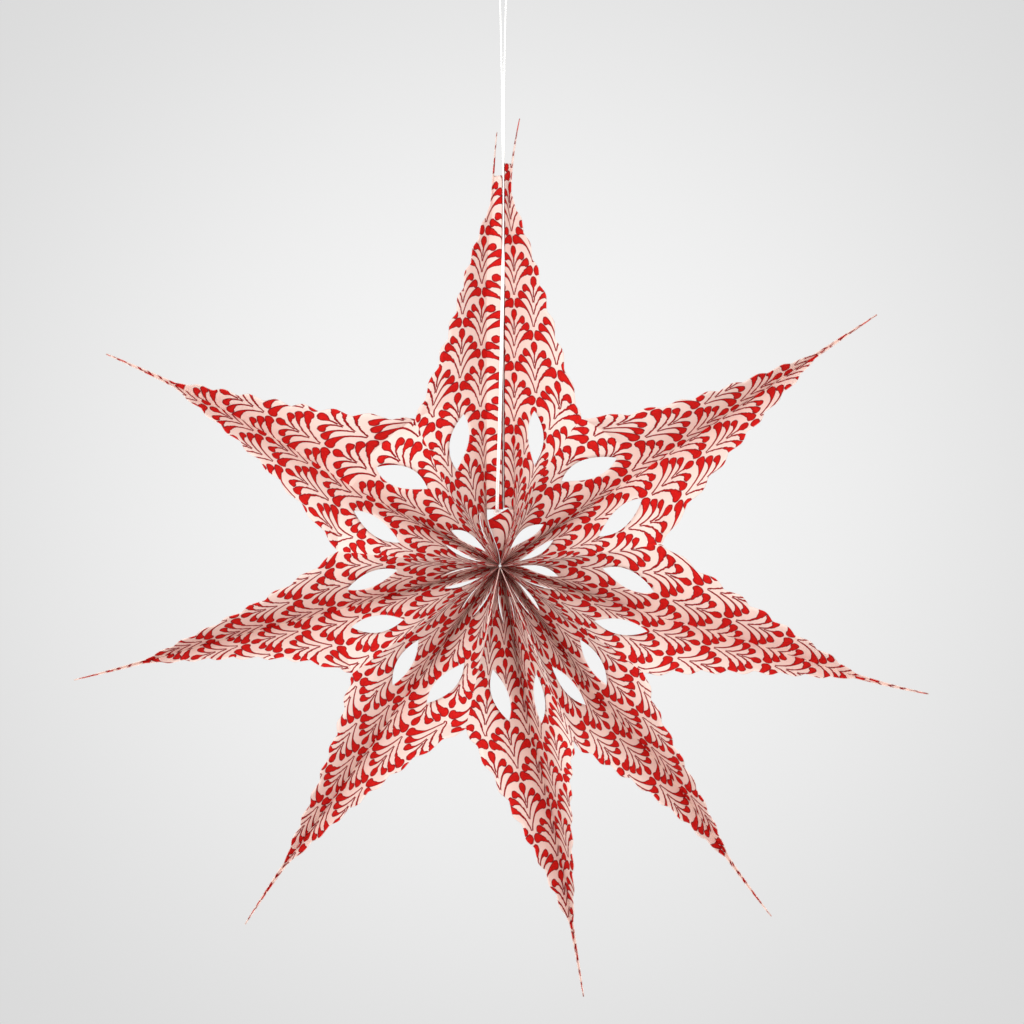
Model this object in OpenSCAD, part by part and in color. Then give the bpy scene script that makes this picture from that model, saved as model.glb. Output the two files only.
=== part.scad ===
// Pleated hanging star of handmade printed paper, on a doubled white thread.
// Seen from the front (looking along +Y) the points lie in the XZ plane.
// The origin is the top of the thread loop, where the hook bears.

/* [Paper] */
// Length of a pleat, from its hub end to the tip of a point
pleat_length = 298; // [270:1:330]
// Width of one pleat between two folds
pleat_width = 62; // [58:1:70]
// Thickness of the handmade paper
paper_thickness = 0.36; // [0.3:0.02:0.44]
// Radius of the tight ring in which the pleats meet
hub_radius = 1.7; // [1.6:0.1:2.6]

/* [Points] */
// Distance from the hub end to the notch between two points
notch_at = 113; // [108:1:120]
// Length of the thin whisker at each tip
whisker_length = 50; // [40:1:60]
// Width of a whisker on each side of its fold
whisker_width = 2.8; // [1.6:0.1:3.2]
// Number of scallops along one side of a point
scallops = 8; // [6:1:9]
// How far a scallop bulges from the slanted edge
scallop_depth = 4.8; // [2:0.1:6]
// How far the middle of a pleat bellies towards the front
belly = 4.6; // [0:0.1:6]

/* [Cut-outs] */
// Distance from the hub end to the middle of the outer cut-out
outer_hole_at = 87; // [84:1:90]
// Length of the outer cut-out along the pleat
outer_hole_length = 36; // [30:1:40]
// Width of the outer cut-out
outer_hole_width = 20; // [8:0.5:22]
// Distance from the hub end to the middle of the inner cut-out
inner_hole_at = 25; // [24:0.5:30]
// Length of the inner cut-out along the pleat
inner_hole_length = 28; // [16:1:30]
// Width of the inner cut-out
inner_hole_width = 20; // [6:0.5:22]
// How much nearer to the valley fold a cut-out's outer end lies than its inner end
hole_slant = 18; // [8:1:20]

/* [Seam and laps] */
// Distance from the hub end to the lower end of the folded end strips
strip_start = 37; // [34:1:46]
// Distance from the hub end to the straight cut at the top of the end strips
strip_end = 268; // [240:1:269]
// Half of the width of the valley floor that the end strips make
seam_half_width = 9; // [8:0.1:11]
// Half of the open slot between the two end strips
slot_half_width = 1.2; // [1.1:0.1:1.4]
// How far the ridge of an end strip stands in front of its valley fold
ridge_rise = 5; // [4:0.5:6]
// How far the turned-in hem behind a ridge reaches back
hem_depth = 8; // [6:0.5:9]
// Gap between the flap that closes the seam by the hub and the left valley fold
flap_gap = 1.5; // [1:0.1:2]
// How far the flap's free edge stands in front of that fold
flap_rise = 5; // [4.5:0.1:6]
// How much lower the flap's free corner lies than the end strips
flap_drop = 10; // [9:0.5:12]
// How far the seam's valley folds lie behind the middle of the star at the hub
seam_depth = 30; // [26:0.5:32]
// How much nearer to the front they are at the top of the end strips
seam_slope = 22; // [18:0.5:24]
// Width of the glued lap behind the neighbouring pleat
lap_width = 7; // [5:0.5:10]
// Glue and slack between a lap's free edge and the pleat over it
glue_gap = 0.35; // [0.3:0.05:0.5]

/* [Thread] */
// Height of the thread loop above the hub
hang_drop = 392; // [385:1:440]
// Diameter of one strand of the thread
thread_diameter = 1.1; // [0.8:0.1:1.2]
// Gap between the two strands where they lie together
strand_gap = 0.1; // [0.05:0.05:0.3]
// Diameter of the knot at the lower end of the thread
knot_diameter = 5; // [4:0.1:6]
// Length of the knot
knot_length = 6; // [4:0.1:8]

/* [Hidden] */

// Directions of the folds, clockwise from straight up, as the star hangs.
// Even folds are valleys and run to a tip, odd folds are mountains and end in a notch.
fold_angles = [0, 29, 56.3, 82.2, 107.8, 126.5, 143.8, 157.1, 169.4,
               191.8, 216, 234, 254.6, 275.3, 298.1, 330.1, 360];
// Sideways curl of each whisker, clockwise
whisker_curl = [8, 0, 0, 0, -6, 0, -8, 0, -2, 0, -3, 0, 2, 0, 1, 0, 3];
// Sideways bow of each fold, clockwise: a valley's past the notch, a mountain's up to it
fold_bow = [0, -5, 0, 0, -2.5, 0, -9, 0, -4, 0, -1, 0, 1.5, 0, 5, -4, 0];
// How much further out each fold ends than an even pleat would
fold_reach = [-1, -3, 2.3, -7, -0.5, 3, -3, 10.5, -6.5, -5, -5, 5.5, -4.5, -7, -1.5, -2, -10];
// Forward lean of each tip
tip_lean = [0, 0, 14, 0, 8, 0, 12, 0, 16, 0, 6, 0, 10, 0, 12, 0, 0];
// Extra belly of each pleat
pleat_belly = [0, 1, 1, 1, 2, 0, 2, 7, 3, 0, 2, 1, 2, 3, 1, 0];
// Share of its spread that each pleat loses past the notch, where its edge is free.
// Less than nought where it opens further.
wing_close = [0.14, 0.35, 0.26, 0.16, 0.02, 0.28, -0.2, 0.2, 0.04, 0.32, 0.1, 0.3, 0.28, 0.26, 0.28,
              0.22];

// Share of its width to which each pleat's inner cut-out stands open. The gathered paper
// round the hub presses the others nearly shut.
inner_open = [0.2, 1, 0.8, 1, 0.2, 0.6, 0.2, 0.2, 0.2, 0.2, 0.2, 0.5, 0.2, 0.5, 1.2, 0.2];

fold_count = len(fold_angles);
pleat_count = fold_count - 1;
// Pleats of the three pasted lengths, counted from the seam
right_first = 0;
right_last = 6;
left_first = 9;
left_last = pleat_count - 1;

whisker_start = pleat_length - whisker_length;
edge_run = whisker_start - notch_at;
// Length over which the spread of a point's two sides settles past the notch
spread_run = 8;
// Length over which a wing closes past the notch
close_run = 28;
// Length past the notch over which a wing turns square to its valley fold
turn_run = 40;
// How much flatter than the rest the middle of a pleat lies round the inner cut-out
hub_wave = 0.6;
// Share of the spread by which a bellied pleat stands steeper at its valley fold
lean_in = 0.04;
// Share of the pleat's width by which it always stays folded
least_fold = 0.15;
// The mitre at a fold is cut off at this many half thicknesses
mitre_limit = 2;
// The seam's valley floor reaches its full width this far from the hub
seam_run = 34;
// Share of that width that is lost towards the tip, and where it starts and ends
seam_taper = 0.45;
seam_taper_from = 195;
seam_taper_to = 260;
slot_centre = 2.2;
// Row at which the flap by the hub begins
flap_first = 1;
hub_slot = 0.45;
// Half of the gap between the rear edges of the two hems
hem_half_gap = 0.3;
// The hub's place from the top of the thread loop
hub_x = -2;
hub_y = 0;

// Rows across the pleats, as distances from the hub end
hole_rows = 6;
rows_per_scallop = 4;
whisker_rows = 3;
function spread_rows(from, to, n) = [for (i = [0:n - 1]) from + (to - from) * i / n];
inner_from = inner_hole_at - inner_hole_length / 2;
inner_to = inner_hole_at + inner_hole_length / 2;
outer_from = outer_hole_at - outer_hole_length / 2;
outer_to = outer_hole_at + outer_hole_length / 2;
// Distance of the cut-outs' middles from the valley fold
hole_line = 0.51 * pleat_width;
rows = concat(
    [0, inner_from / 2],
    spread_rows(inner_from, inner_to, hole_rows),
    spread_rows(inner_to, outer_from, 3),
    spread_rows(outer_from, outer_to, hole_rows + 2),
    [outer_to],
    spread_rows(notch_at, whisker_start, scallops * rows_per_scallop),
    spread_rows(whisker_start, strip_end, 2),
    spread_rows(strip_end, pleat_length, whisker_rows),
    [pleat_length]);
row_count = len(rows);
function row_at_or_after(v, j = 0) = rows[j] >= v - 0.001 ? j : row_at_or_after(v, j + 1);
notch_row = row_at_or_after(notch_at);
strip_first = row_at_or_after(strip_start);
strip_last = row_at_or_after(strip_end);
lap_first = row_at_or_after(inner_to);

// Half of an almond's width at v, zero outside it
function almond(v, middle, length, width) =
    let (x = abs(v - middle) / (length / 2))
    x >= 0.999 ? 0 : width / 2 * (1 - x * x);
function hole_half(v, open = 1) =
    almond(v, inner_hole_at, inner_hole_length, inner_hole_width * open)
    + almond(v, outer_hole_at, outer_hole_length, outer_hole_width);
// Distance from the valley fold to the line through the middles of the cut-outs, up to the notch
function hole_middle(v) =
    hole_line + hole_slant * lookup(v, [
        [0, 0], [inner_from, 0.5], [inner_to, -0.5],
        [outer_from, 0.5], [outer_to, -0.5], [notch_at, -0.2]]);

// Distance from the valley fold to the cut edge, less than the whole width past the notch
function edge_at(v) =
    v <= notch_at ? pleat_width
    : v >= whisker_start ? whisker_width * (1 - 0.75 * (v - whisker_start) / whisker_length)
    : let (x = (v - notch_at) / edge_run)
      pleat_width + (whisker_width - pleat_width) * pow(x, 0.9)
      + scallop_depth * (1 - 0.5 * x) * abs(sin(180 * scallops * x));

function is_valley(k) = k % 2 == 0;
function smooth(x) = let (c = max(0, min(1, x))) c * c * (3 - 2 * c);
// Past the notch the spread between two folds levels out
function spread_at(v) = v <= notch_at ? v : notch_at + spread_run * (1 - exp(-(v - notch_at) / spread_run));

// In-plane place [x, z] of fold k from the hub, with the seam's folds set apart
function seam_side(k) = k == 0 ? 1 : k == fold_count - 1 ? -1 : 0;
function seam_shift(k, v) =
    let (taper = 1 - seam_taper * smooth((v - seam_taper_from) / (seam_taper_to - seam_taper_from)))
    seam_side(k) * (hub_slot + (seam_half_width * taper - hub_slot) * smooth(v / seam_run));
function curl(k, v) =
    let (q = is_valley(k) ? max(0, v - notch_at) / (pleat_length - notch_at) : min(1, v / notch_at))
    whisker_curl[k] * pow(max(0, (v - whisker_start + 20) / (whisker_length + 20)), 2)
    + fold_bow[k] * 4 * q * (1 - q);
function fold_plan(k, v) =
    let (a = fold_angles[k],
         r = hub_radius + v + fold_reach[k] * v / (is_valley(k) ? pleat_length : notch_at),
         s = seam_shift(k, v) + curl(k, v))
    [r * sin(a) + s * cos(a), r * cos(a) - s * sin(a)];

// Depth between the two folds of pleat i, from its width and its spread
function pleat_depth(i, v) =
    let (c = norm(fold_plan(i, v) - fold_plan(i + 1, v)))
    sqrt(max(pleat_width * pleat_width - c * c, pow(least_fold * pleat_width, 2)));
function fold_depth(k, v) = (pleat_depth(k - 1, v) + pleat_depth(k, v)) / 4;
function seam_fold_depth(v) = seam_depth - seam_slope * v / strip_end;
function lean(k, v) = tip_lean[k] * pow(v / pleat_length, 2);
// Place of fold k: valleys lie back, mountains come forward
function fold_point(k, v, w) =
    let (p = fold_plan(k, v))
    [p[0],
     seam_side(k) != 0 ? seam_fold_depth(v)
     : is_valley(k) ? fold_depth(k, w) - lean(k, v)
     : -fold_depth(k, w),
     p[1]];

// Place on pleat i, u from its valley fold and v from the hub. Lines of equal v cross
// both folds squarely, so they are arcs up to the notch. Past it they turn square to the
// valley fold, and a wing's closing turns spread into depth.
function pleat_point(i, u, v) =
    let (valley = is_valley(i) ? i : i + 1,
         mountain = is_valley(i) ? i + 1 : i,
         turn = is_valley(i) ? 1 : -1,
         s = u / pleat_width,
         w = min(v, notch_at),
         past = max(0, v - notch_at),
         root = fold_point(valley, v, spread_at(v)),
         across = fold_point(mountain, w, w) - fold_point(valley, w, w),
         spread = norm([across[0], across[2]]),
         outward = turn * [-across[2], 0, across[0]] / spread,
         bulge = spread / 2 * tan(abs(fold_angles[mountain] - fold_angles[valley]) / 4),
         a = fold_angles[valley],
         square = turn * spread * [cos(a), 0, -sin(a)],
         near = 1 / (1 + pow(past / turn_run, 2)),
         open = 1 - wing_close[i] * (1 - exp(-past / close_run)),
         depth = -sqrt(across[1] * across[1] + spread * spread * (1 - open * open)),
         wave = hub_wave * smooth(v / 15) * (1 - smooth((v - 20) / 90)),
         round_in = smooth((v - 30) / 50) * sin(180 * min(1, s)),
         f = s - wave * sin(360 * s) / 6.28 - lean_in * round_in,
         arc = f * [across[0], 0, across[2]] + bulge * 4 * f * (1 - f) * outward,
         swell = (belly + pleat_belly[i]) * sin(180 * min(1, s)) * smooth(v / notch_at))
    root + open * (near * arc + (1 - near) * f * square) + [0, s * depth - swell, 0];

// Front normal of pleat i at u, v
step = 0.2;
function unit(a) = a / norm(a);
function pleat_normal(i, u, v) =
    let (a = pleat_point(i, u, v + step) - pleat_point(i, u, v - step),
         b = pleat_point(i, u + step, v) - pleat_point(i, u - step, v))
    unit(is_valley(i) ? cross(b, a) : cross(a, b));

// The four columns of a pleat at row j, from its left fold to its right fold
function column_u(i, c, j) =
    let (v = rows[j], far = edge_at(v), h = hole_half(v, inner_open[i]),
         mid = hole_middle(min(v, notch_at)) * far / pleat_width,
         from_valley = is_valley(i) ? c : 3 - c)
    from_valley == 0 ? 0
    : from_valley == 1 ? mid - h
    : from_valley == 2 ? mid + h
    : far;
function shared(k, j) = k > 0 && k < fold_count - 1 && (is_valley(k) || j <= notch_row);

// Half-thickness vector towards the front, mitred where two pleats meet
function fold_mitre(k, j) =
    let (v = rows[j],
         ul = is_valley(k) ? 0 : edge_at(v),
         nl = pleat_normal(k - 1, ul, v),
         nr = pleat_normal(k, ul, v),
         m = nl + nr,
         long = norm(m) < 0.001 ? [0, -1, 0] : unit(m),
         grow = min(mitre_limit, 1 / max(0.01, abs(long * nl))))
    long * grow;
function half_thickness(i, c, j) =
    let (v = rows[j],
         k = c == 0 ? i : c == 3 ? i + 1 : -1,
         n = k > 0 && shared(k, j) ? fold_mitre(k, j) : pleat_normal(i, column_u(i, c, j), v),
         ribbon_first = k == 0 ? flap_first : strip_first,
         at_strip = k >= 0 && seam_side(k) != 0 && j >= ribbon_first && j <= strip_last)
    (at_strip ? unit(n + [0, -1, 0]) : n) * paper_thickness / 2;
function column_point(i, c, j, side) =
    pleat_point(i, column_u(i, c, j), rows[j]) + side * half_thickness(i, c, j);

// Points are stored pleat by pleat, row by row, column by column, front then back
function raw_index(i, j, c, back) = ((i * row_count + j) * 4 + c) * 2 + back;
function closed_row(j) = hole_half(rows[j]) == 0;
// Index of a column's point in a sheet that starts with pleat "first"
function at(first, i, c, j, back) =
    c == 2 && closed_row(j) ? at(first, i, 1, j, back)
    : c == 0 && i > first && shared(i, j) ? raw_index(i - 1 - first, j, 3, back)
    : raw_index(i - first, j, c, back);

// Two triangles, less any that has closed up
function quad(a, b, c, d) =
    [for (t = [[a, b, c], [a, c, d]]) if (t[0] != t[1] && t[1] != t[2] && t[2] != t[0]) t];
function flip(faces) = [for (t = faces) [t[2], t[1], t[0]]];
function flat(lists) = [for (part = lists) each part];

// Front and back of the sheet between two columns over rows j and j + 1.
// The back edge beside a lap is the lap's own, given as lap_left or lap_right.
function band(first, i, c, j, lap_left, lap_right) =
    let (a = at(first, i, c, j, 0), b = at(first, i, c + 1, j, 0),
         d = at(first, i, c, j + 1, 0), e = at(first, i, c + 1, j + 1, 0),
         f = lap_left >= 0 ? lap_index(first, i, 0, j, 0, 1, lap_left) : at(first, i, c, j, 1),
         h = lap_left >= 0 ? lap_index(first, i, 0, j + 1, 0, 1, lap_left) : at(first, i, c, j + 1, 1),
         g = lap_right >= 0 ? lap_index(first, i, 3, j, 0, 1, lap_right) : at(first, i, c + 1, j, 1),
         k = lap_right >= 0 ? lap_index(first, i, 3, j + 1, 0, 1, lap_right)
             : at(first, i, c + 1, j + 1, 1))
    concat(quad(a, d, e, b), quad(f, g, k, h));
// Cut edge along column c over rows j and j + 1, facing right
function wall(first, i, c, j) =
    quad(at(first, i, c, j, 0), at(first, i, c, j + 1, 0),
         at(first, i, c, j + 1, 1), at(first, i, c, j, 1));
// Cut edge across the sheet at row j, facing the hub
function end_wall(first, i, c, j) =
    quad(at(first, i, c, j, 0), at(first, i, c + 1, j, 0),
         at(first, i, c + 1, j, 1), at(first, i, c, j, 1));

function in_ribbon(from, j) = j >= from && j < strip_last;
function pleat_faces(first, last, i, start_left, start_right) =
    let (lap_left = i == first && i > 0 && start_left >= 0 ? start_left : -1,
         lap_right = i == last && i < pleat_count - 1 && start_right >= 0 ? start_right : -1,
         strip_left = i == 0,
         strip_right = i == pleat_count - 1)
    flat(concat(
        [for (j = [0:row_count - 2]) for (c = [0, 2])
            band(first, i, c, j, c == 0 ? lap_left : -1, c == 2 ? lap_right : -1)],
        [for (j = [0:row_count - 2])
            if (!(closed_row(j) && closed_row(j + 1)))
                concat(wall(first, i, 1, j), flip(wall(first, i, 2, j)))],
        [for (j = [0:row_count - 2])
            if (strip_left ? !in_ribbon(flap_first, j) : i == first || (!is_valley(i) && j >= notch_row))
                flip(wall(first, i, 0, j))],
        [for (j = [0:row_count - 2])
            if (strip_right ? !in_ribbon(strip_first, j) : i == last || (is_valley(i) && j >= notch_row))
                wall(first, i, 3, j)],
        [for (c = [0, 2]) end_wall(first, i, c, 0)],
        [for (c = [0, 2]) flip(end_wall(first, i, c, row_count - 1))]));

function sheet_points(first, last) =
    [for (i = [first:last]) for (j = [0:row_count - 1]) for (c = [0:3])
        each [column_point(i, c, j, 1), column_point(i, c, j, -1)]];
function sheet_size(first, last) = (last - first + 1) * row_count * 8;

// Faces of a ribbon on the sheet's right-hand edge, over the rows of that edge.
// index gives a point from its row, its column from the sheet outwards and its side.
// Its quads are cut corner to corner the same way as those of the pleat that it lies on.
function ribbon_faces(from, to, columns, index, outward = true) =
    flat(concat(
        [for (j = [from:to - 1]) for (c = [0:columns - 1]) for (side = [0, 1])
            let (a = index(j, c, side), b = index(j + 1, c, side),
                 d = index(j + 1, c + 1, side), e = index(j, c + 1, side),
                 faces = outward ? quad(a, b, d, e) : quad(b, d, e, a))
            side == 0 ? faces : flip(faces)],
        [for (j = [from:to - 1])
            quad(index(j, columns, 0), index(j + 1, columns, 0),
                 index(j + 1, columns, 1), index(j, columns, 1))],
        [for (c = [0:columns - 1])
            concat(quad(index(from, c, 0), index(from, c + 1, 0),
                        index(from, c + 1, 1), index(from, c, 1)),
                   flip(quad(index(to, c, 0), index(to, c + 1, 0),
                             index(to, c + 1, 1), index(to, c, 1))))]));

// End strip of the seam: from the valley fold forward to a ridge, then a hem turned back
function strip_index(first, i, column, j, c, back, start) =
    c == 0 ? at(first, i, column, j, back)
    : start + ((j - strip_first) * 2 + c - 1) * 2 + back;
function strip_points(i, column, side) =
    [for (j = [strip_first:strip_last])
        let (fold = column_point(i, column, j, 0),
             ridge = [slot_centre + side * slot_half_width, fold[1] - ridge_rise, fold[2]],
             hem = [slot_centre + side * hem_half_gap, ridge[1] + hem_depth, fold[2]],
             strip_way = unit(ridge - fold),
             hem_way = unit(hem - ridge),
             strip_front = side * [strip_way[1], -strip_way[0], 0],
             hem_front = side * [hem_way[1], -hem_way[0], 0],
             ridge_front = unit(strip_front + hem_front))
        for (p = [[ridge, ridge_front], [hem, hem_front]])
            each [p[0] - p[1] * paper_thickness / 2, p[0] + p[1] * paper_thickness / 2]];

// Flap: below the end strips, the paper of the right one lies open across the seam
function flap_index(j, c, back, start) =
    c == 0 ? at(0, 0, 0, j, back)
    : start + (j - flap_first) * 2 + back;
function flap_points() =
    [for (j = [flap_first:strip_first])
        let (fold = column_point(0, 0, j, 0),
             drop = flap_drop * rows[j] / rows[strip_first],
             other = pleat_point(pleat_count - 1, 0, rows[j] - drop),
             edge = [other[0] + flap_gap, other[1] - flap_rise, fold[2] - drop],
             way = unit(edge - fold),
             front = unit([-way[1], way[0], 0]))
        each [edge + front * paper_thickness / 2, edge - front * paper_thickness / 2]];

// Glued lap: it leaves the mountain fold behind the neighbouring pleat and closes up
// to the fold at both ends. Its first column has only a back point of its own.
function lap_index(first, i, column, j, c, back, start) =
    j <= lap_first || j >= notch_row || (c == 0 && back == 0) ? at(first, i, column, j, 1)
    : start + ((j - lap_first) * 2 + c) * 2 + back;
function lap_points(i, column, neighbour) =
    let (near = column == 0 ? 3 : 0, inner = column == 0 ? 2 : 1)
    [for (j = [lap_first:notch_row])
        let (fold = column_point(i, column, j, -1),
             root = fold - unit(fold_mitre(column == 0 ? i : i + 1, j)) * (glue_gap + paper_thickness),
             next = column_point(neighbour, inner, j, -1),
             way = next - fold,
             back_way = -pleat_normal(neighbour, column_u(neighbour, inner, j), rows[j]),
             edge = fold + way * min(0.9, lap_width / norm(way)) + back_way * glue_gap)
        each [fold, root, edge, edge + back_way * paper_thickness]];

module pleated_sheet(first, last) {
    own = sheet_size(first, last);
    left_strip = strip_points(0, 0, 1);
    left_extra = first == 0 ? concat(left_strip, flap_points())
        : first == right_last + 1 ? lap_points(first, 0, first - 1)
        : [];
    right_extra = last == pleat_count - 1 ? strip_points(last, 3, -1)
        : last == left_first - 1 ? lap_points(last, 3, last + 1)
        : [];
    right_start = own + len(left_extra);
    left_faces = first == 0
        ? flip(concat(
            ribbon_faces(strip_first, strip_last, 2,
                function (j, c, b) strip_index(first, 0, 0, j, c, b, own)),
            ribbon_faces(flap_first, strip_first, 1,
                function (j, c, b) flap_index(j, c, b, own + len(left_strip)))))
        : first == right_last + 1
        ? flip(ribbon_faces(lap_first, notch_row, 1,
            function (j, c, b) lap_index(first, first, 0, j, c, b, own), false))
        : [];
    right_faces = last == pleat_count - 1
        ? ribbon_faces(strip_first, strip_last, 2,
            function (j, c, b) strip_index(first, last, 3, j, c, b, right_start))
        : last == left_first - 1
        ? ribbon_faces(lap_first, notch_row, 1,
            function (j, c, b) lap_index(first, last, 3, j, c, b, right_start))
        : [];
    laps = first == right_last + 1;
    translate([hub_x, hub_y, -hang_drop])
        polyhedron(
            points = concat(sheet_points(first, last), left_extra, right_extra),
            faces = concat(
                flat([for (i = [first:last])
                    pleat_faces(first, last, i, laps ? own : -1, laps ? right_start : -1)]),
                left_faces, right_faces),
            convexity = 20);
}

// Route of the doubled thread from the knot up to the loop, chosen by hand:
// middle of the pair [x, y, z], half of the distance between the strands, and the
// turn of the pair, 0 side by side and 90 one behind the other.
beside = (thread_diameter + strand_gap) / 2;
knot_face = [-4, 25, -355.7];
thread_route = [
    [knot_face, beside, 0],
    [[-4, 24, -355.7], beside, 0],
    [[-4, 22.4, -355.1], beside, 0],
    [[-4, 21.1, -353.4], beside, 0],
    [[-4, 20.6, -351], beside, 0],
    [[-3.4, 18.9, -332], beside, 0],
    [[-2.4, 16.5, -302], beside, 0],
    [[-1.6, 14, -272], beside, 0],
    [[-1, 11.5, -242], beside, 0],
    [[-0.4, 9, -212], beside, 0],
    [[0, 7, -190], beside, 30],
    [[0.2, 5.6, -174], beside, 90],
    [[0.2, 6.4, -164], beside, 90],
    [[0.2, 7.3, -156], beside, 90],
    [[0.2, 6.4, -144], beside, 90],
    [[0.2, 5.3, -130], beside, 90],
    [[0.2, 4.6, -118], beside, 60],
    [[0, 3.9, -104], beside, 15],
    [[0, 3, -81], beside, 0],
    [[0, 2.2, -60], 0.95, 0],
    [[0, 1.4, -38], 1.35, 0],
    [[0, 0.6, -15], 2, 0],
    [[0, 0.2, -6], 2.5, 0],
    [[0, 0, -2], 2.6, 0]];
loop_radius = 2.6;
loop_middle = thread_diameter / 2 - loop_radius;
function strand(side) =
    [for (p = thread_route) p[0] + side * p[1] * [cos(p[2]), sin(p[2]), 0]];
function backwards(list) = [for (n = [len(list) - 1:-1:0]) list[n]];
thread_path = concat(
    strand(-1),
    [for (a = [150, 120, 90, 60, 30]) [loop_radius * cos(a), 0, loop_middle + loop_radius * sin(a)]],
    backwards(strand(1)));

// Round tube along a path, with a ring at each of its points
thread_sides = 8;
function path_way(path, n) =
    n == 0 ? unit(path[1] - path[0])
    : n == len(path) - 1 ? unit(path[n] - path[n - 1])
    : unit(unit(path[n + 1] - path[n]) + unit(path[n] - path[n - 1]));
// A steady cross direction carried along the path
function carried(path, n) =
    let (w = path_way(path, n), c = n == 0 ? [0, 0, 1] : carried(path, n - 1))
    unit(c - (c * w) * w);
module tube(path, diameter) {
    rings = [for (n = [0:len(path) - 1])
        let (w = path_way(path, n), a = carried(path, n), b = cross(w, a))
        for (s = [0:thread_sides - 1])
            path[n] + diameter / 2 * (cos(360 * s / thread_sides) * a + sin(360 * s / thread_sides) * b)];
    last = (len(path) - 1) * thread_sides;
    polyhedron(
        points = rings,
        faces = concat(
            [[for (s = [0:thread_sides - 1]) s]],
            [[for (s = [thread_sides - 1:-1:0]) last + s]],
            [for (n = [0:len(path) - 2]) for (s = [0:thread_sides - 1])
                let (a = n * thread_sides + s, b = n * thread_sides + (s + 1) % thread_sides)
                each [[a, a + thread_sides, b + thread_sides], [a, b + thread_sides, b]]]),
        convexity = 10);
}

module right_pleats() {
    color([0.86, 0.36, 0.33]) pleated_sheet(right_first, right_last);
}

module bottom_point() {
    color([0.93, 0.55, 0.48]) pleated_sheet(right_last + 1, left_first - 1);
}

module left_pleats() {
    color([0.82, 0.3, 0.28]) pleated_sheet(left_first, left_last);
}

module hanging_thread() {
    color("white") tube(thread_path, thread_diameter);
}

// Barrel-shaped knot behind the end strips, with a flat face where the strands enter
module thread_knot() {
    face = thread_diameter + strand_gap;
    color("white") translate(knot_face) rotate([-90, 0, 0])
        rotate_extrude($fn = 32)
            polygon([[0, 0], [face, 0], [knot_diameter / 2, knot_length * 0.3],
                     [knot_diameter / 2, knot_length * 0.7], [face, knot_length], [0, knot_length]]);
}

right_pleats();
bottom_point();
left_pleats();
hanging_thread();
thread_knot();
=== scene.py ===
import math

import bmesh
import bpy
from mathutils import Matrix, Vector


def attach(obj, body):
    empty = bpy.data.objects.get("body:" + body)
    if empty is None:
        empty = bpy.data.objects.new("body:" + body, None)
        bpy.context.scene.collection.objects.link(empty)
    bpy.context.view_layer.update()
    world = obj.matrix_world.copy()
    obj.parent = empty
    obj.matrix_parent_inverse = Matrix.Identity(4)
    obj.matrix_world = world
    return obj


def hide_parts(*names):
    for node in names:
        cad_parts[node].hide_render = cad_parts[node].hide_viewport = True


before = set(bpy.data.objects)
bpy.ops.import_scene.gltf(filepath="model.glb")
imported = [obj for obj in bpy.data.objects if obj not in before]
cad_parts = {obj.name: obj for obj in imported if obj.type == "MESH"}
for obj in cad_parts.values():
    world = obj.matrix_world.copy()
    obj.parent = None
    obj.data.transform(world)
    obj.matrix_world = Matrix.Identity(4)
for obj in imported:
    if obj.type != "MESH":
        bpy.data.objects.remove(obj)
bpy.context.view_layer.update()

# Camera: level, 3 m in front of the star's middle, with a long lens that fills the square
# picture as the photograph does
VIEW_FROM = (0.006, -3.0, -0.356)
camera = bpy.data.objects.new("camera", bpy.data.cameras.new("camera"))
bpy.context.collection.objects.link(camera)
camera.location = VIEW_FROM
camera.rotation_euler = (math.radians(90), 0, 0)
camera.data.lens = 158.2
scene = bpy.context.scene
scene.camera = camera
scene.render.resolution_x = scene.render.resolution_y = 1024
scene.view_settings.view_transform = "Standard"

# Thread: one white two-ply cotton thread, doubled. Both ends leave the knot behind the end
# strips. It rises between the pleats and ends in the small loop that hangs on a hook.
THREAD = 1.1
BESIDE = 0.6
LOOP = 2.6
KNOT_FACE = (-4, 25, -355.7)
# For each point of the route: the middle between the two strands, half of the distance
# between them, and the way in which they lie side by side, in degrees from +X
ROUTE = [
    (KNOT_FACE, BESIDE, 0), ((-4, 24, -355.7), BESIDE, 0), ((-4, 22.4, -355.1), BESIDE, 0),
    ((-4, 21.1, -353.4), BESIDE, 0), ((-4, 20.6, -351), BESIDE, 0),
    ((-3.4, 18.9, -332), BESIDE, 0), ((-2.4, 16.5, -302), BESIDE, 0),
    ((-1.6, 14, -272), BESIDE, 0), ((-1, 11.5, -242), BESIDE, 0), ((-0.4, 9, -212), BESIDE, 0),
    ((0, 7, -190), BESIDE, 30), ((0.2, 5.6, -174), BESIDE, 90), ((0.2, 6.4, -164), BESIDE, 90),
    ((0.2, 7.3, -156), BESIDE, 90), ((0.2, 6.4, -144), BESIDE, 90),
    ((0.2, 5.3, -130), BESIDE, 90), ((0.2, 4.6, -118), BESIDE, 60), ((0, 3.9, -104), BESIDE, 15),
    ((0, 3, -81), BESIDE, 0), ((0, 2.2, -60), 0.95, 0), ((0, 1.4, -38), 1.35, 0),
    ((0, 0.6, -15), 2, 0), ((0, 0.2, -6), 2.5, 0), ((0, 0, -2), LOOP, 0)]
PLY_PER_METRE = 420.0
PLY_RELIEF = 0.0002


def linear(colour):
    """An sRGB hex colour as the linear values that a shader socket takes."""
    parts = [int(colour[n:n + 2], 16) / 255 for n in (1, 3, 5)]
    return tuple(p / 12.92 if p <= 0.04045 else ((p + 0.055) / 1.055) ** 2.4 for p in parts) + (1,)


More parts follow.
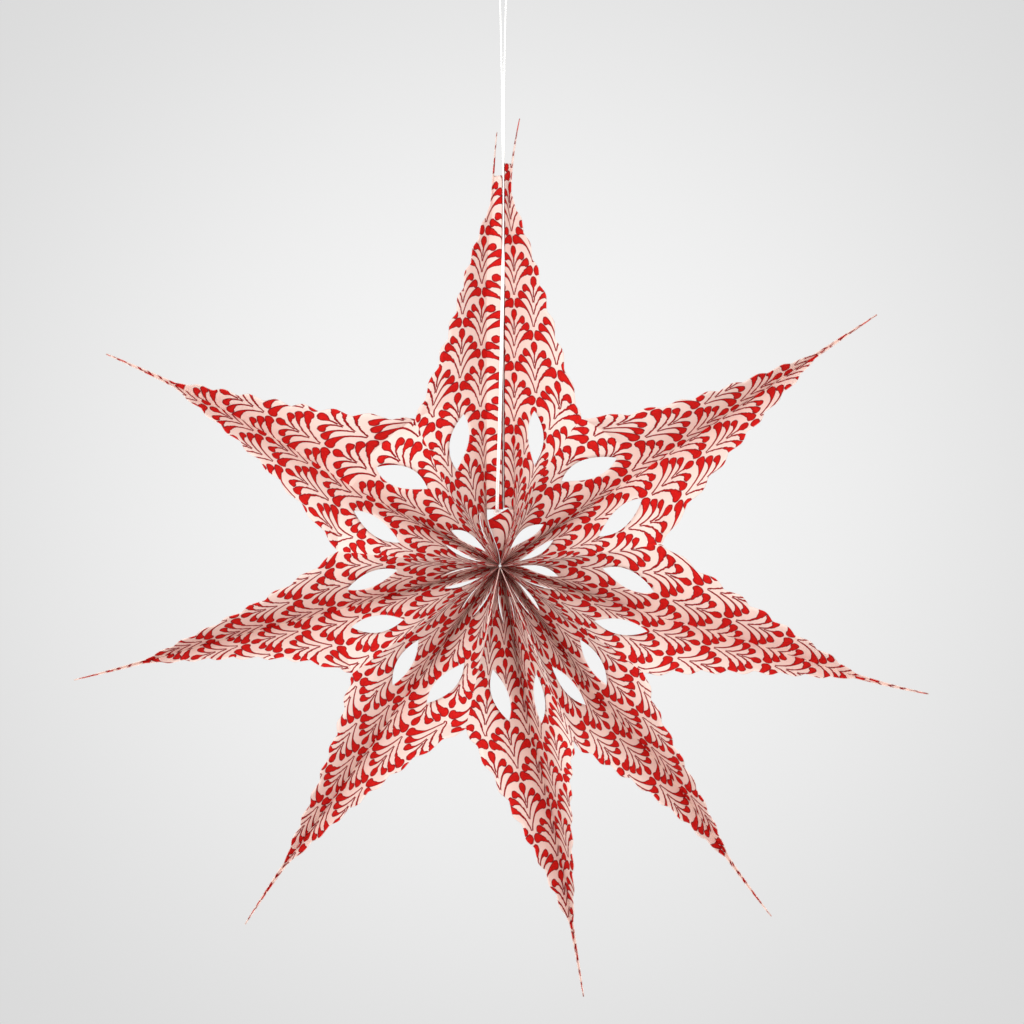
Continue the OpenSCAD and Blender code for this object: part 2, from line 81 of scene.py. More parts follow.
def add(tree, kind, settings=None, inputs=None):
    """Adds a node with its settings, and links or sets its inputs. Returns its outputs."""
    made = tree.nodes.new(kind)
    for name, value in (settings or {}).items():
        setattr(made, name, value)
    for key, value in (inputs or {}).items():
        if isinstance(value, bpy.types.NodeSocket):
            tree.links.new(value, made.inputs[key])
        else:
            made.inputs[key].default_value = value
    return made.outputs


def new_material(name):
    """A material with only an output. Returns it, its tree and its surface socket."""
    made = bpy.data.materials.new(name)
    made.use_nodes = True
    made.node_tree.nodes.clear()
    out = made.node_tree.nodes.new("ShaderNodeOutputMaterial")
    return made, made.node_tree, out.inputs["Surface"]


def show(name, data):
    """Makes an object of the data, on the star's own body."""
    made = bpy.data.objects.new(name, data)
    bpy.context.collection.objects.link(made)
    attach(made, "root")
    return made


def strand(side):
    """One of the two strands, from the knot up."""
    return [Vector((p[0] + side * half * math.cos(math.radians(turn)),
                    p[1] + side * half * math.sin(math.radians(turn)), p[2])) / 1000
            for p, half, turn in ROUTE]


loop = [Vector((LOOP * math.cos(math.radians(a)), 0,
                THREAD / 2 - LOOP + LOOP * math.sin(math.radians(a)))) / 1000
        for a in (150, 120, 90, 60, 30)]
path = strand(-1) + loop + strand(1)[::-1]
curve = bpy.data.curves.new("hanging_thread_line", "CURVE")
curve.dimensions = "3D"
curve.bevel_depth = THREAD / 2000
curve.bevel_resolution = 3
curve.resolution_u = 8
curve.use_fill_caps = True
spline = curve.splines.new("BEZIER")
spline.bezier_points.add(len(path) - 1)
for point, place in zip(spline.bezier_points, path):
    point.co = place
    point.handle_left_type = point.handle_right_type = "AUTO"
cotton, tree, surface = new_material("cotton thread")
coords = add(tree, "ShaderNodeTexCoord")["Object"]
ply = add(tree, "ShaderNodeTexWave", {"wave_type": "BANDS", "bands_direction": "DIAGONAL"}, {
    "Vector": coords, "Scale": PLY_PER_METRE})["Fac"]
bump = add(tree, "ShaderNodeBump", None, {
    "Height": ply, "Strength": 0.5, "Distance": PLY_RELIEF})["Normal"]
yarn = add(tree, "ShaderNodeBsdfPrincipled", None, {
    "Base Color": linear("#f4f3f0"), "Roughness": 0.75, "Sheen Weight": 0.2, "Normal": bump})
tree.links.new(yarn["BSDF"], surface)
curve.materials.append(cotton)
thread = show("thread_cord", curve)
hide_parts("hanging_thread")

# Knot: four turns of the same thread, pulled tight. It rests against the rear edges of the
# two hems and is larger than the slot between the end strips.
KNOT_TURNS = 4
KNOT_LENGTH = 6.0
KNOT_END = 1.3
TURN_RADIUS = 1.95
FIRST_TURN = 0.75
TURN_PITCH = 1.45
# How far a turn bulges outwards, and half of its width along the knot
TURN_BULGE = (0.55, 0.72)

profile = [(0.0, 0.0), (KNOT_END, 0.05)]
for turn in range(KNOT_TURNS):
    for bend in range(-60, 121, 36):
        a = math.radians(bend)
        profile.append((TURN_RADIUS + TURN_BULGE[0] * math.cos(a),
                        FIRST_TURN + turn * TURN_PITCH + TURN_BULGE[1] * math.sin(a)))
profile += [(KNOT_END, KNOT_LENGTH - 0.05), (0.0, KNOT_LENGTH)]
bm = bmesh.new()
ring = [bm.verts.new((r, along_knot, 0)) for r, along_knot in profile]
edges = [bm.edges.new(pair) for pair in zip(ring, ring[1:])]
bmesh.ops.spin(bm, geom=ring + edges, cent=(0, 0, 0), axis=(0, 1, 0), dvec=(0, 0, 0),
               angle=math.radians(360), steps=32, use_merge=True)
bmesh.ops.remove_doubles(bm, verts=bm.verts, dist=0.001)
bmesh.ops.recalc_face_normals(bm, faces=bm.faces)
for v in bm.verts:
    v.co = (v.co + Vector(KNOT_FACE)) / 1000
for f in bm.faces:
    f.smooth = True
mesh = bpy.data.meshes.new("thread_knot_turns")
bm.to_mesh(mesh)
bm.free()
mesh.materials.append(cotton)
knot = show("knot_turns", mesh)
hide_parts("thread_knot")

# Print: sprays of red drops on thin curved tails, block-printed on handmade paper. They
# stand in columns, and each column is half a repeat above the next one. In mm.
COLUMN = 21.2
REPEAT = 42.4
MIDDLE_DROP = 29.7
# For each stroke of a spray: the outer end of its line, where it starts on the spray's axis,
# the radius of its drop, and how far along the line the drop begins
STROKES = [((0, MIDDLE_DROP), 19.2, 3.4, 0.45), ((8.2, 27.6), 16.0, 2.85, 0.5),
           ((12.9, 23.4), 8.4, 3.05, 0.54), ((16.5, 18.4), -0.3, 3.5, 0.48)]
# Half of a tail's width where it starts, and how much it grows before the drop begins
THIN = 0.55
GROW = 0.34
# Half of the angle through which a tail bends
TAIL_BEND = 28
# Shares of a drop's radius: where its tail ends, and how far it hangs below the line
TAIL_END = 0.97
HANG = 0.8
# How far the hand-cut lines wander, the soft edge of the ink, and its thin rim
WANDER = (1.6, -1.3)
SOFT_EDGE = 0.2
THIN_RIM = 1.1
FIBRE_RELIEF = 0.0002
LIGHT_THROUGH = 0.4


def maths(tree, operation, *values):
    """Adds a Math node. Returns its output."""
    return add(tree, "ShaderNodeMath", {"operation": operation}, dict(enumerate(values)))[0]


def vector_maths(tree, operation, *values):
    """Adds a Vector Math node. Returns its outputs."""
    return add(tree, "ShaderNodeVectorMath", {"operation": operation}, dict(enumerate(values)))


def ramp(tree, value, start, end, low=0.0, high=1.0):
    """Adds an S-shaped change from low at the start to high at the end. Returns its output."""
    return add(tree, "ShaderNodeMapRange", {"interpolation_type": "SMOOTHSTEP"}, {
        "Value": value, "From Min": start, "From Max": end, "To Min": low, "To Max": high})[0]


def mixed(tree, share, first, second):
    """Adds a mix of two colours. Returns its output."""
    return add(tree, "ShaderNodeMix", {"data_type": "RGBA"}, {0: share, 6: first, 7: second})[2]


def along(tree, place, way, start):
    """Distance of the place from the start, measured along a way."""
    dot = vector_maths(tree, "DOT_PRODUCT", place, (*way, 0))["Value"]
    return maths(tree, "SUBTRACT", dot, way.dot(start))


def away(tree, place, point):
    """Distance of the place from a point."""
    return vector_maths(tree, "DISTANCE", place, (*point, 0))["Value"]


def stroke(tree, place, end, start, radius, drop_from):
    """Distance in mm to one stroke, less than nought inside the ink. Its tail is an arc that
    turns outwards from the axis and grows into a drop, which hangs below the arc."""
    end, foot = Vector(end), Vector((0, start))
    chord = end - foot
    way = chord.normalized()
    ahead = along(tree, place, way, foot)
    wide = ramp(tree, ahead, drop_from * chord.length, chord.length, THIN, radius * TAIL_END - GROW)
    wide = maths(tree, "MULTIPLY_ADD", ahead, GROW / chord.length, wide)
    if end.x:
        turn = math.radians(TAIL_BEND)
        bow = chord.length / (2 * math.sin(turn))
        inward = Vector((way.y, -way.x))
        centre = (end + foot) / 2 + inward * bow * math.cos(turn)
        out = (end - centre).normalized()
        off = maths(tree, "SUBTRACT", away(tree, place, centre), bow)
        off = maths(tree, "MULTIPLY_ADD", wide, HANG, off)
        middle = end - out * HANG * radius
        limit = maths(tree, "MAXIMUM", along(tree, place, Vector((out.y, -out.x)), end),
                      along(tree, place, inward, foot + inward * 2 * radius))
    else:
        off = add(tree, "ShaderNodeSeparateXYZ", None, {0: place})[0]
        middle = end
        limit = along(tree, place, way, end)
    tail = maths(tree, "SUBTRACT", maths(tree, "ABSOLUTE", off), wide)
    tail = maths(tree, "MAXIMUM", tail, limit)
    tail = maths(tree, "MAXIMUM", tail, maths(tree, "MULTIPLY", ahead, -1.0))
    head = maths(tree, "SUBTRACT", away(tree, place, middle), radius)
    return maths(tree, "MINIMUM", tail, head)


# One spray: a middle drop and three pairs of drops, wider and lower from pair to pair
spray = bpy.data.node_groups.new("print spray", "ShaderNodeTree")
spray.interface.new_socket(name="place", in_out="INPUT", socket_type="NodeSocketVector")
spray.interface.new_socket(name="distance", in_out="OUTPUT", socket_type="NodeSocketFloat")
place = spray.nodes.new("NodeGroupInput").outputs[0]
nearest = stroke(spray, place, *STROKES[0])
for each in STROKES[1:]:
    nearest = maths(spray, "MINIMUM", nearest, stroke(spray, place, *each))
spray.links.new(nearest, spray.nodes.new("NodeGroupOutput").inputs[0])


def noise(tree, place, scale, detail, distortion=0.0):
    """Adds a noise, in patches of about 1 / scale mm. Returns its value."""
    return add(tree, "ShaderNodeTexNoise", None, {
        "Vector": place, "Scale": scale, "Detail": detail, "Distortion": distortion})["Fac"]


def shaded(tree, colour, value, range_, least):
    """Makes a colour lighter and darker with a noise. Returns its output."""
    return add(tree, "ShaderNodeHueSaturation", None, {
        "Color": colour, "Value": maths(tree, "MULTIPLY_ADD", value, range_, least)})[0]


def printed_paper(name, ink_share, paper_colour, ink_colour, rim_colour):
    """Handmade paper with the print, at full strength or as it shows through the back."""
    made, tree, surface = new_material(name)
    place = add(tree, "ShaderNodeUVMap", {"uv_map": "print"})["UV"]
    wander = maths(tree, "SUBTRACT", noise(tree, place, 0.35, 3.0), 0.5)
    split = add(tree, "ShaderNodeSeparateXYZ", None, {0: place})
    across, up = [maths(tree, "ADD", split[n], maths(tree, "MULTIPLY", wander, WANDER[n]))
                  for n in (0, 1)]
    across = maths(tree, "PINGPONG", across, COLUMN)
    found = []
    for side, lift in ((across, 0.0), (maths(tree, "SUBTRACT", COLUMN, across), REPEAT / 2)):
        height = maths(tree, "FLOORED_MODULO", maths(tree, "ADD", up, lift), REPEAT)
        cell = add(tree, "ShaderNodeCombineXYZ", None, {0: side, 1: height})[0]
        found.append(add(tree, "ShaderNodeGroup", {"node_tree": spray}, {0: cell})[0])
    distance = maths(tree, "MINIMUM", *found)
    inside = ramp(tree, distance, SOFT_EDGE, -SOFT_EDGE, 0.0, ink_share)
    past_rim = ramp(tree, distance, -SOFT_EDGE, -THIN_RIM)
    ink = mixed(tree, past_rim, linear(rim_colour), linear(ink_colour))
    ink = shaded(tree, ink, noise(tree, place, 0.5, 4.0), 0.7, 0.65)
    fibre = noise(tree, place, 1.4, 6.0, 1.5)
    paper = shaded(tree, linear(paper_colour), fibre, 0.12, 0.94)
    colour = mixed(tree, inside, paper, ink)
    bump = add(tree, "ShaderNodeBump", None, {
        "Height": fibre, "Strength": 0.25, "Distance": FIBRE_RELIEF})["Normal"]
    front = add(tree, "ShaderNodeBsdfPrincipled", None, {
        "Base Color": colour, "Roughness": 0.8, "Specular IOR Level": 0.15, "Normal": bump})[0]
    through = add(tree, "ShaderNodeBsdfTranslucent", None, {"Color": colour, "Normal": bump})[0]
    sheet = add(tree, "ShaderNodeMixShader", None, {0: LIGHT_THROUGH, 1: front, 2: through})[0]
    tree.links.new(sheet, surface)
    return made


front_paper = printed_paper("printed handmade paper", 1.0, "#f9e3da", "#d41c18", "#8c0c1a")
back_paper = printed_paper("back of the handmade paper", 0.3, "#f5e2d9", "#d8564e", "#b9565c")

# Pleated paper: three pasted lengths of the printed paper, folded into sixteen pleats that
# meet in the middle. Even folds are valleys and run to a tip, odd folds are mountains and
# end in a notch. In mm, and distances along a pleat are counted from the hub.
LENGTH = 298.0
WIDTH = 62.0
PAPER = 0.36
# Sharpest turn of the paper, in radians, that isn't shaded as a fold
CREASE = 0.35
HUB = (-2.0, 0.0, -392.0)
HUB_RADIUS = 1.7
HUB_GATHER = 0.7
NOTCH = 113.0

# Cut-outs: two leaves on each pleat, at a slant. HOLE_LINE is how far their middle lies from
# the valley fold, and HOLE_TURN says by what share of the slant it moves along the pleat.
INNER_FROM, INNER_TO, INNER_WIDTH = 11.0, 39.0, 20.0
OUTER_FROM, OUTER_TO, OUTER_WIDTH = 69.0, 105.0, 20.0
HOLE_LINE = 31.6
HOLE_SLANT = 18.0
HOLE_TURN = [(0, 0), (INNER_FROM, 0.5), (INNER_TO, -0.5), (OUTER_FROM, 0.5), (OUTER_TO, -0.5),
             (NOTCH, -0.2)]
# Share of its width to which each pleat's inner cut-out stands open by the crowded hub
INNER_OPEN = [0.2, 1, 0.8, 1, 0.2, 0.6, 0.2, 0.2, 0.2, 0.2, 0.2, 0.5, 0.2, 0.5, 1.2, 0.2]

# Cut edge: scalloped from the notch to the thin whisker at the tip
WHISKER_FROM = 248.0
WHISKER_WIDTH = 2.8
WHISKER_TAPER = 0.75
POINT_CURVE = 0.9
SCALLOPS = 8
SCALLOP_DEPTH = 6.2
SCALLOP_FADE = 0.4
SCALLOP_CORNER = 0.68
CORNER_ROUND = 0.7
# How far each pleat's scallops are moved along its edge, as a share of one scallop
SCALLOP_SHIFT = [0.63, 0.9, 0.83, 0.83, 0, 0, 0.1, 0.1, 0.38, 0.38, 0.63, 0.58, 0.3, 0.41,
                 0.48, 0.44]

# Folds: the angle of each, and how far it bows, curls at its tip, or ends farther out or
# leans forward, as the star was opened by hand
FOLD_ANGLES = [0, 29, 56.3, 82.2, 107.8, 126.5, 143.8, 157.1, 169.4,
               191.8, 216, 234, 254.6, 275.3, 298.1, 330.1, 360]
FOLD_BOW = [0, -5, 0, 0, -2.5, 0, -9, 0, -4, 0, -1, 0, 1.5, 0, 5, -4, 0]
WHISKER_CURL = [8, 0, 0, 0, -6, 0, -8, 0, -2, 0, -3, 0, 2, 0, 1, 0, 3]
CURL_FROM = 228.0
FOLD_REACH = [-1, -3, 2.3, -7, -0.5, 3, -3, 10.5, -6.5, -5, -5, 5.5, -4.5, -7, -1.5, -2, -10]
TIP_LEAN = [0, 0, 14, 0, 8, 0, 12, 0, 16, 0, 6, 0, 10, 0, 12, 0, 0]
# Least depth of the zigzag, as a share of a pleat's width
LEAST_DEPTH = 0.15

# Pleats: how far each one's middle bellies forward, and by what share its outer part closes
BELLY = 4.6
PLEAT_BELLY = [0, 1, 1, 1, 2, 0, 2, 7, 3, 0, 2, 1, 2, 3, 1, 0]
WING_CLOSE = [0.14, 0.35, 0.26, 0.16, 0.02, 0.28, -0.2, 0.2, 0.04, 0.32, 0.1, 0.3, 0.28, 0.26,
              0.28, 0.22]
# How far past the notch the closing, the spreading and the squaring of a pleat take effect
CLOSE_RUN = 28
SPREAD_RUN = 8
SQUARE_RUN = 40
# Wave across a pleat by the hub, its lean towards the valley fold, and the paper's cockling
HUB_WAVE = 0.6
WAVE_FULL, WAVE_FADES, WAVE_ENDS = 15.0, 20.0, 110.0
LEAN_IN = 0.04
LEAN_FROM, LEAN_FULL = 30.0, 80.0
COCKLE = 0.5
COCKLE_RUNS = (19, 31)

# Seam in the top point: its two valley folds stand apart, and the floor between them is
# made of the two end strips, with an open slot in the middle
SEAM = {0: 1, 16: -1}
SEAM_HALF_WIDTH = 9.0
SEAM_RUN = 34.0
SEAM_TAPER = 0.45
TAPER_FROM, TAPER_TO = 195.0, 260.0
SEAM_DEPTH = 30.0
SEAM_SLOPE = 22.0
HUB_SLOT = 0.45
STRIP_START = 37.0
STRIP_END = 268.0
SLOT_CENTRE = 2.2
SLOT_HALF_WIDTH = 1.2
RIDGE_RISE = 5.0
HEM_HALF_GAP = 0.3
HEM_DEPTH = 8.0
FLAP_GAP = 0.5
FLAP_RISE = 5.0
FLAP_DROP = 10.0

# Laps of the bottom point's sheet, behind the neighbouring pleats
LAP_WIDTH = 7.0
LAP_RUN = 6.0
LAP_BEHIND = 0.71

# Where a middle drop lies on each pleat: from its valley fold, and from the hub
PRINT_AT = [(22, 146.5), (26.5, 157.5), (22.8, 141.5), (18.8, 190), (18.5, 138), (9.5, 187),
            (17.5, 125), (16, 129), (24.8, 150), (24, 119.5), (10.5, 148), (15, 128.5),
            (6.7, 152), (27, 153), (17.5, 131), (27.5, 117)]
PRINT_UP = [-1 if i in (7, 8) else 1 for i in range(16)]


def smooth(x):
    """An S-shaped change from 0 to 1."""
    c = min(1.0, max(0.0, x))
    return c * c * (3 - 2 * c)


def between(x, points):
    """A straight-line reading of a list of (x, y) points."""
    for (x0, y0), (x1, y1) in zip(points, points[1:]):
        if x <= x1:
            return y0 + (y1 - y0) * (x - x0) / (x1 - x0)
    return points[-1][1]


def scallop(x):
    """Height of a scallop: a straight shelf towards the tip, a round corner and a short riser."""
    shelf, riser = x / SCALLOP_CORNER, (1 - x) / (1 - SCALLOP_CORNER)
    rounded = max(0.0, CORNER_ROUND - abs(shelf - riser)) ** 2 / (4 * CORNER_ROUND)
    return min(shelf, riser) - rounded


def edge_at(i, v):
    """Distance from pleat i's valley fold to its cut edge, which is scalloped past the notch."""
    if v <= NOTCH:
        return WIDTH
    if v >= WHISKER_FROM:
        return WHISKER_WIDTH * (1 - WHISKER_TAPER * (v - WHISKER_FROM) / (LENGTH - WHISKER_FROM))
    x = (v - NOTCH) / (WHISKER_FROM - NOTCH)
    depth = SCALLOP_DEPTH * (1 - SCALLOP_FADE * x) * min(1.0, SCALLOPS * (1 - x))
    return min(WIDTH, WIDTH + (WHISKER_WIDTH - WIDTH) * x ** POINT_CURVE
               + depth * scallop((SCALLOPS * x + SCALLOP_SHIFT[i]) % 1))


def fold_plan(k, v):
    """Place (x, z) of fold k from the hub, seen from the front."""
    a = math.radians(FOLD_ANGLES[k])
    valley = k % 2 == 0
    r = HUB_RADIUS + v + FOLD_REACH[k] * v / (LENGTH if valley else NOTCH)
    taper = 1 - SEAM_TAPER * smooth((v - TAPER_FROM) / (TAPER_TO - TAPER_FROM))
    s = SEAM.get(k, 0) * (HUB_SLOT + (SEAM_HALF_WIDTH * taper - HUB_SLOT) * smooth(v / SEAM_RUN))
    q = max(0.0, v - NOTCH) / (LENGTH - NOTCH) if valley else min(1.0, v / NOTCH)
    s += WHISKER_CURL[k] * max(0.0, (v - CURL_FROM) / (LENGTH - CURL_FROM)) ** 2
    s += FOLD_BOW[k] * 4 * q * (1 - q)
    return r * math.sin(a) + s * math.cos(a), r * math.cos(a) - s * math.sin(a)


def fold_depth(k, v):
    """Half of the depth of the zigzag at fold k, from the pleats' width and spread."""
    total = 0.0
    for i in (k - 1, k):
        p, q = fold_plan(i, v), fold_plan(i + 1, v)
        spread = math.dist(p, q)
        total += math.sqrt(max(WIDTH ** 2 - spread ** 2, (LEAST_DEPTH * WIDTH) ** 2))
    return total / 4


def fold_point(k, v, w):
    """Place of fold k at v, where the zigzag is as deep as at w: valleys lie back, mountains
    come forward."""
    x, z = fold_plan(k, v)
    if k in SEAM:
        return Vector((x, SEAM_DEPTH - SEAM_SLOPE * v / STRIP_END, z))
    if k % 2:
        return Vector((x, -fold_depth(k, w), z))
    return Vector((x, fold_depth(k, w) - TIP_LEAN[k] * (v / LENGTH) ** 2, z))


def pleat_row(i, v):
    """Gives the function that places the distance u from the valley fold on pleat i at v."""
    valley, mountain = (i, i + 1) if i % 2 == 0 else (i + 1, i)
    w = min(v, NOTCH)
    past = max(0.0, v - NOTCH)
    spread_as = NOTCH + SPREAD_RUN * (1 - math.exp(-past / SPREAD_RUN)) if past else v
    root = fold_point(valley, v, spread_as)
    across = fold_point(mountain, w, w) - fold_point(valley, w, w)
    turn = 1 if valley < mountain else -1
    spread = math.hypot(across.x, across.z)
    outward = Vector((-turn * across.z, 0, turn * across.x)) / spread
    # The lines of equal v cross both folds at right angles, so they are arcs
    angle = math.radians(abs(FOLD_ANGLES[mountain] - FOLD_ANGLES[valley]))
    bulge = spread / 2 * math.tan(angle / 4)
    a = math.radians(FOLD_ANGLES[valley])
    square = Vector((turn * math.cos(a), 0, -turn * math.sin(a))) * spread
    near = 1 / (1 + (past / SQUARE_RUN) ** 2)
    opened = 1 - WING_CLOSE[i] * (1 - math.exp(-past / CLOSE_RUN))
    depth = -math.sqrt(across.y ** 2 + spread ** 2 * (1 - opened ** 2))
    chord = Vector((across.x, 0, across.z))
    fading = smooth((v - WAVE_FADES) / (WAVE_ENDS - WAVE_FADES))
    wave = HUB_WAVE * smooth(v / WAVE_FULL) * (1 - fading)
    lean_in = LEAN_IN * smooth((v - LEAN_FROM) / (LEAN_FULL - LEAN_FROM))
    belly = (BELLY + PLEAT_BELLY[i]) * smooth(v / NOTCH)
    cockle = COCKLE * math.sin(v / COCKLE_RUNS[0] + 2.1 * i) * math.cos(v / COCKLE_RUNS[1] + i)

    def place(u):
        s = u / WIDTH
        middle = math.sin(math.pi * min(1, s))
        f = s - wave * math.sin(2 * math.pi * s) / 6.28 - lean_in * middle
        inside = chord * f + outward * bulge * 4 * f * (1 - f)
        flat = opened * (near * inside + (1 - near) * f * square)
        forward = Vector((0, s * depth + (cockle - belly) * middle, 0))
        return (root + flat + forward + Vector(HUB)) / 1000
    return place


def hole_at(i, v):
    """Middle and half width of pleat i's leaf-shaped cut-out at v, measured across the pleat."""
    middle = HOLE_LINE + HOLE_SLANT * between(min(v, NOTCH), HOLE_TURN)
    half = 0.0
    for start, end, width in ((INNER_FROM, INNER_TO, INNER_WIDTH * INNER_OPEN[i]),
                              (OUTER_FROM, OUTER_TO, OUTER_WIDTH)):
        if start < v < end:
            x = (2 * v - start - end) / (end - start)
            half = width / 2 * (1 - x * x)
    return middle * edge_at(i, v) / WIDTH, half


def steps(start, end, count):
    """Evenly spaced rows, without the last one."""
    return [start + (end - start) * n / count for n in range(count)]


ROWS = ([-HUB_GATHER] + steps(0, INNER_FROM, 5) + steps(INNER_FROM, INNER_TO, 16)
        + steps(INNER_TO, OUTER_FROM, 14) + steps(OUTER_FROM, OUTER_TO, 20)
        + steps(OUTER_TO, NOTCH, 4) + steps(NOTCH, WHISKER_FROM, SCALLOPS * 12)
        + steps(WHISKER_FROM, STRIP_END, 8) + steps(STRIP_END, LENGTH, 12) + [LENGTH])
# Columns of faces on each side of the cut-outs
SIDE = 7


def grid_strip(bm, columns, rows, place, print_place):
    """Adds a grid of the operator's, puts each vertex where place(column, row) says, and
    gives its UV. Returns its faces, and each vertex's column and row."""
    made = bmesh.ops.create_grid(bm, x_segments=columns, y_segments=rows, size=1,
                                 calc_uvs=False)["verts"]
    where = {v: (round((v.co.x + 1) / 2 * columns), round((v.co.y + 1) / 2 * rows))
             for v in made}
    uv = bm.loops.layers.uv["print"]
    faces = {f for v in made for f in v.link_faces}
    for f in faces:
        for corner in f.loops:
            corner[uv].uv = print_place(*where[corner.vert])
    for v, (c, r) in where.items():
        v.co = place(c, r)
    return faces, where


def print_uv(i, u, v):
    """Place in the print of the point u from pleat i's valley fold and v from the hub."""
    return u - PRINT_AT[i][0], PRINT_UP[i] * (v - PRINT_AT[i][1]) + MIDDLE_DROP


def end_strip(bm, i):
    """The folded strip along the seam: forward from the valley fold to a ridge beside the
    open slot, then a hem turned back behind the ridge."""
    side = SEAM[0] if i == 0 else SEAM[16]
    rows = [v for v in ROWS if STRIP_START <= v <= STRIP_END]
    folds = [pleat_row(i, v)(0) for v in rows]
    ridge_x = (HUB[0] + SLOT_CENTRE + side * SLOT_HALF_WIDTH) / 1000
    hem_x = (HUB[0] + SLOT_CENTRE + side * HEM_HALF_GAP) / 1000

    def place(c, r):
        fold = folds[r]
        ridge = Vector((ridge_x, fold.y - RIDGE_RISE / 1000, fold.z))
        hem = Vector((hem_x, ridge.y + HEM_DEPTH / 1000, fold.z))
        return fold.lerp(ridge, c / 2) if c <= 2 else ridge.lerp(hem, c / 2 - 1)

    def print_place(c, r):
        return print_uv(i, -SEAM_HALF_WIDTH * c / 2, rows[r])

    faces, _ = grid_strip(bm, 4, len(rows) - 1, place, print_place)
    if i == 0:
        bmesh.ops.reverse_faces(bm, faces=list(faces))


def seam_flap(bm):
    """Below the end strips the right one's paper lies open across the seam, by the hub."""
    rows = [v for v in ROWS if 0 <= v <= INNER_TO]
    drops = [FLAP_DROP * v / INNER_TO for v in rows]

    def place(c, r):
        fold = pleat_row(0, rows[r])(0)
        other = pleat_row(15, rows[r] - drops[r])(0)
        edge = Vector((other.x + FLAP_GAP / 1000, other.y - FLAP_RISE / 1000,
                       fold.z - drops[r] / 1000))
        return fold.lerp(edge, c / 3)

    def print_place(c, r):
        floor = 2 * SEAM_HALF_WIDTH * smooth(rows[r] / SEAM_RUN)
        return print_uv(0, -floor * c / 3, rows[r] - drops[r] * c / 3)

    faces, _ = grid_strip(bm, 3, len(rows) - 1, place, print_place)
    bmesh.ops.reverse_faces(bm, faces=list(faces))


def glued_lap(bm, i):
    """The lap of the bottom point's sheet, behind the next pleat of the neighbouring sheet."""
    rows = [v for v in ROWS if INNER_TO <= v <= NOTCH]
    behind = 6 if i == 7 else 9
    across = [0, 0.6, 4, LAP_WIDTH]
    own = [pleat_row(behind, v) for v in rows]

    def place(c, r):
        share = smooth((rows[r] - INNER_TO) / LAP_RUN) * smooth((NOTCH - rows[r]) / LAP_RUN)
        inward = own[r](WIDTH - 8) - own[r](WIDTH)
        back = Vector((-inward.z, 0, inward.x)).cross(inward).normalized()
        back = back if back.y > 0 else -back
        lap = own[r](WIDTH - across[c] * share)
        return lap + back * share * LAP_BEHIND / 1000 if c else lap

    def print_place(c, r):
        return print_uv(i, WIDTH + across[c], rows[r])

    grid_strip(bm, 3, len(rows) - 1, place, print_place)


def pleated_sheet(name, first, last):
    """One pasted length of pleats, from pleat first to pleat last."""
    bm = bmesh.new()
    bm.loops.layers.uv.new("print")
    for i in range(first, last + 1):
        rows = [pleat_row(i, v) for v in ROWS]

        def u_at(c, r):
            v = ROWS[r]
            middle, half = hole_at(i, v)
            if c <= SIDE:
                return (middle - half) * c / SIDE
            return middle + half + (edge_at(i, v) - middle - half) * (c - SIDE - 1) / SIDE

        def place(c, r):
            return rows[r](u_at(c, r))

        def print_place(c, r):
            return print_uv(i, u_at(c, r), ROWS[r])

        def in_hole(f):
            columns = [where[v][0] for v in f.verts]
            halves = [hole_at(i, ROWS[where[v][1]])[1] for v in f.verts]
            return min(columns) == SIDE and max(halves) > 0

        faces, where = grid_strip(bm, 2 * SIDE + 1, len(ROWS) - 1, place, print_place)
        gone = [f for f in faces if in_hole(f)]
        if i % 2:
            bmesh.ops.reverse_faces(bm, faces=list(faces))
        bmesh.ops.delete(bm, geom=gone, context="FACES_ONLY")
        if i in (0, 15):
            end_strip(bm, i)
        if i == 0:
            seam_flap(bm)
        if i in (7, 8):
            glued_lap(bm, i)
    bmesh.ops.remove_doubles(bm, verts=bm.verts, dist=0.000002)
    for f in bm.faces:
        f.smooth = True
    for e in bm.edges:
        e.smooth = len(e.link_faces) < 2 or e.calc_face_angle(0) < CREASE
    mesh = bpy.data.meshes.new(name)
    bm.to_mesh(mesh)
    bm.free()
    mesh.materials.append(front_paper)
    mesh.materials.append(back_paper)
    made = show(name, mesh)
    thick = made.modifiers.new("paper thickness", "SOLIDIFY")
    thick.thickness = PAPER / 1000
    thick.offset = 0
    thick.material_offset = 1
    thick.material_offset_rim = 1
    return made


right = pleated_sheet("right_paper", 0, 6)
bottom = pleated_sheet("bottom_paper", 7, 8)
left = pleated_sheet("left_paper", 9, 15)
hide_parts("right_pleats")
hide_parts("bottom_point")
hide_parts("left_pleats")

# Stage: a pale wall far behind with painted light: it glows, brightest in the middle as a lit
# studio sweep looks, and its weaker glow to other rays also lights the star from behind. It is
# clear from its back, so that a view from behind shows the star.
WALL = Vector((VIEW_FROM[0], 1.2, VIEW_FROM[2]))
BRIGHTEST = (VIEW_FROM[0], 1.2, -0.33)

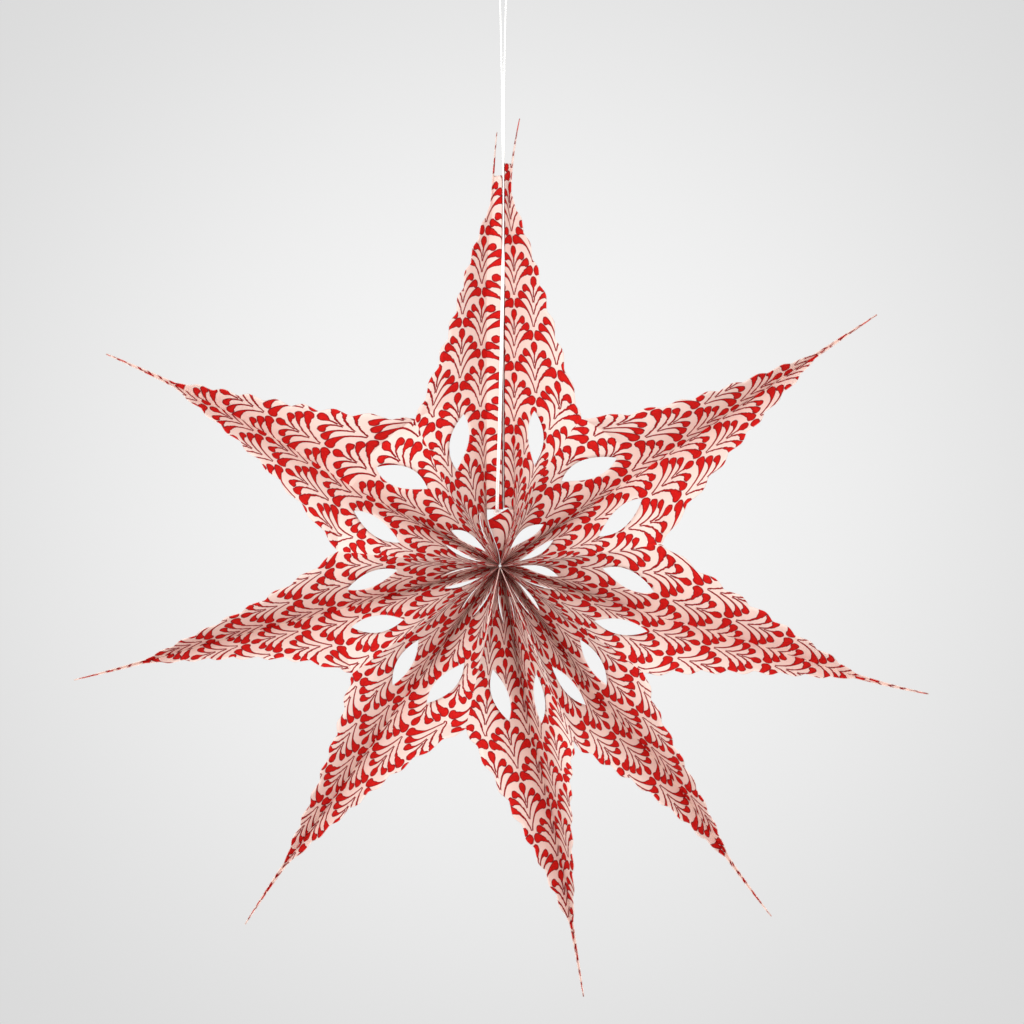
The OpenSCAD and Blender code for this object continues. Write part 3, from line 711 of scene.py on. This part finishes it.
bm = bmesh.new()
bmesh.ops.create_grid(bm, x_segments=1, y_segments=1, size=3)
upright = Matrix.Rotation(math.radians(90), 3, "X")
bmesh.ops.rotate(bm, verts=bm.verts, cent=(0, 0, 0), matrix=upright)
bmesh.ops.translate(bm, verts=bm.verts, vec=WALL)
mesh = bpy.data.meshes.new("backdrop_wall")
bm.to_mesh(mesh)
bm.free()
wall = bpy.data.objects.new("backdrop", mesh)
bpy.context.collection.objects.link(wall)
sweep, tree, surface = new_material("painted glow backdrop")
coords = add(tree, "ShaderNodeTexCoord")["Object"]
# Painted light: the wall's glow falls from pale grey in the middle to darker grey outwards
painted_glow_falloff = ramp(tree, vector_maths(tree, "DISTANCE", coords, BRIGHTEST)["Value"], 0.1, 0.75)
colour = mixed(tree, painted_glow_falloff, linear("#f4f4f4"), linear("#dadada"))
seen = add(tree, "ShaderNodeLightPath")["Is Camera Ray"]
strength = maths(tree, "MULTIPLY_ADD", seen, 0.4, 0.6)
glow = add(tree, "ShaderNodeEmission", None, {"Color": colour, "Strength": strength})[0]
behind = add(tree, "ShaderNodeNewGeometry")["Backfacing"]
clear = add(tree, "ShaderNodeBsdfTransparent")[0]
facing = add(tree, "ShaderNodeMixShader", None, {0: behind, 1: glow, 2: clear})[0]
tree.links.new(facing, surface)
mesh.materials.append(sweep)

# Light: an even white surround, a large soft key from the left and a weaker one from the
# right, and a small lamp beside the camera that reaches into the folds
LAMPS = (("key", (-1.0, -2.0, 0.1), 1.5, 31.0), ("fill", (0.9, -2.4, -0.3), 1.5, 15.0),
         ("front", (0.0, -2.9, -0.3), 0.4, 36.0))
LIT = Vector((0, 0, -0.36))

world = bpy.data.worlds.new("white room")
scene.world = world
world.use_nodes = True
room = world.node_tree.nodes["Background"].inputs
room["Color"].default_value = linear("#ffffff")
room["Strength"].default_value = 0.65
for name, place, size, power in LAMPS:
    lamp = bpy.data.lights.new(name, "AREA")
    lamp.size = size
    lamp.energy = power
    made = bpy.data.objects.new(name, lamp)
    bpy.context.collection.objects.link(made)
    made.location = place
    made.rotation_euler = (LIT - Vector(place)).to_track_quat("-Z", "Y").to_euler()
